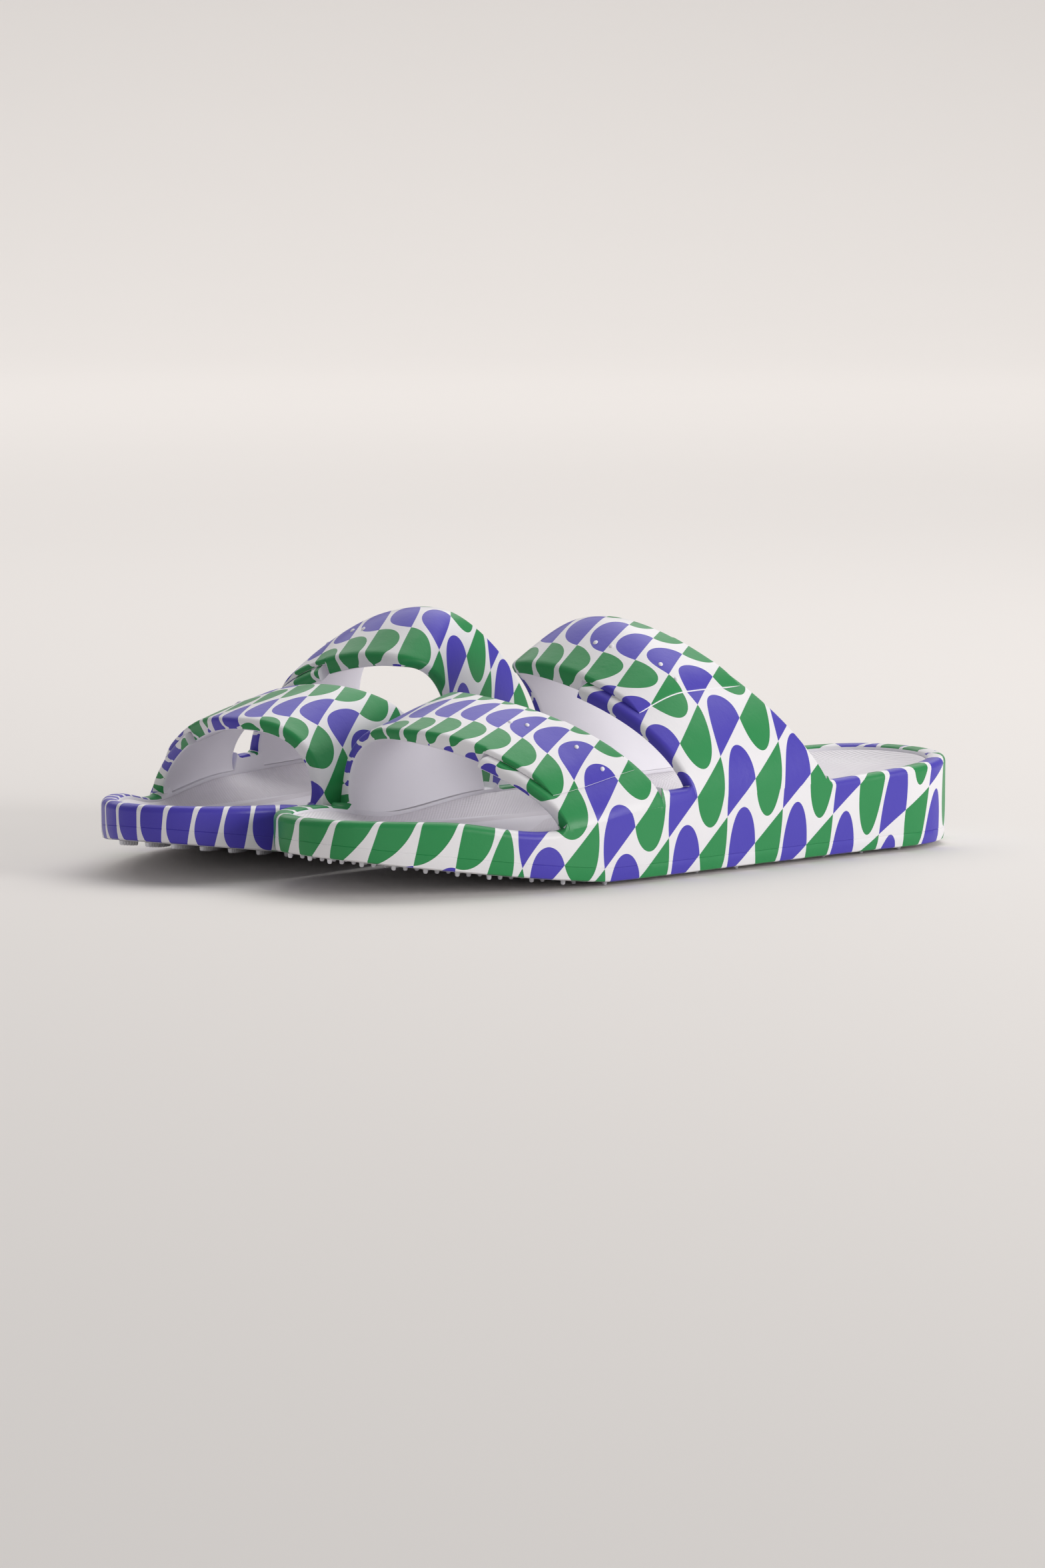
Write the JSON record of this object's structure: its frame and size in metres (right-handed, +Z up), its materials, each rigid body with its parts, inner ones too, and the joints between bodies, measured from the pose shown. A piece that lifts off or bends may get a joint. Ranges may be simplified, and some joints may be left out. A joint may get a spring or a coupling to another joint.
{
  "type": "pair of slide sandals",
  "caption": "Pair of moulded two-strap slide sandals: sole with raised rim, footbed and studded outsole, toe strap and instep strap that lap over the foot.",
  "frame": {"origin": "on the floor, under the middle of the pair's bounding box", "axes": "+Z up, toes towards -Y, the left slide on +X and the right slide on -X"},
  "size_m": [0.212, 0.2686, 0.0795],
  "materials": {
    "printed_shell": "satin moulded foam with a repeating two-colour lobe print in violet and green on white",
    "footbed_foam": "off-white foam with fine ribs",
    "outsole_foam": "white foam outsole with small round studs"
  },
  "bodies": {
    "left_slide": {"left_outsole": "outsole_foam", "left_midsole": "printed_shell", "left_footbed": "footbed_foam", "left_toe_strap_outer_band": "printed_shell", "left_toe_strap_inner_band": "printed_shell", "left_instep_strap_outer_band": "printed_shell", "left_instep_strap_inner_band": "printed_shell"},
    "right_slide": {"right_outsole": "outsole_foam", "right_midsole": "printed_shell", "right_footbed": "footbed_foam", "right_toe_strap_outer_band": "printed_shell", "right_toe_strap_inner_band": "printed_shell", "right_instep_strap_outer_band": "printed_shell", "right_instep_strap_inner_band": "printed_shell"}
  },
  "joints": [
    {"name": "right_slide_lift", "type": "slide", "parent": "left_slide", "child": "right_slide", "axis": [0, 0, 1], "range_m": [0, 0.25]}
  ]
}
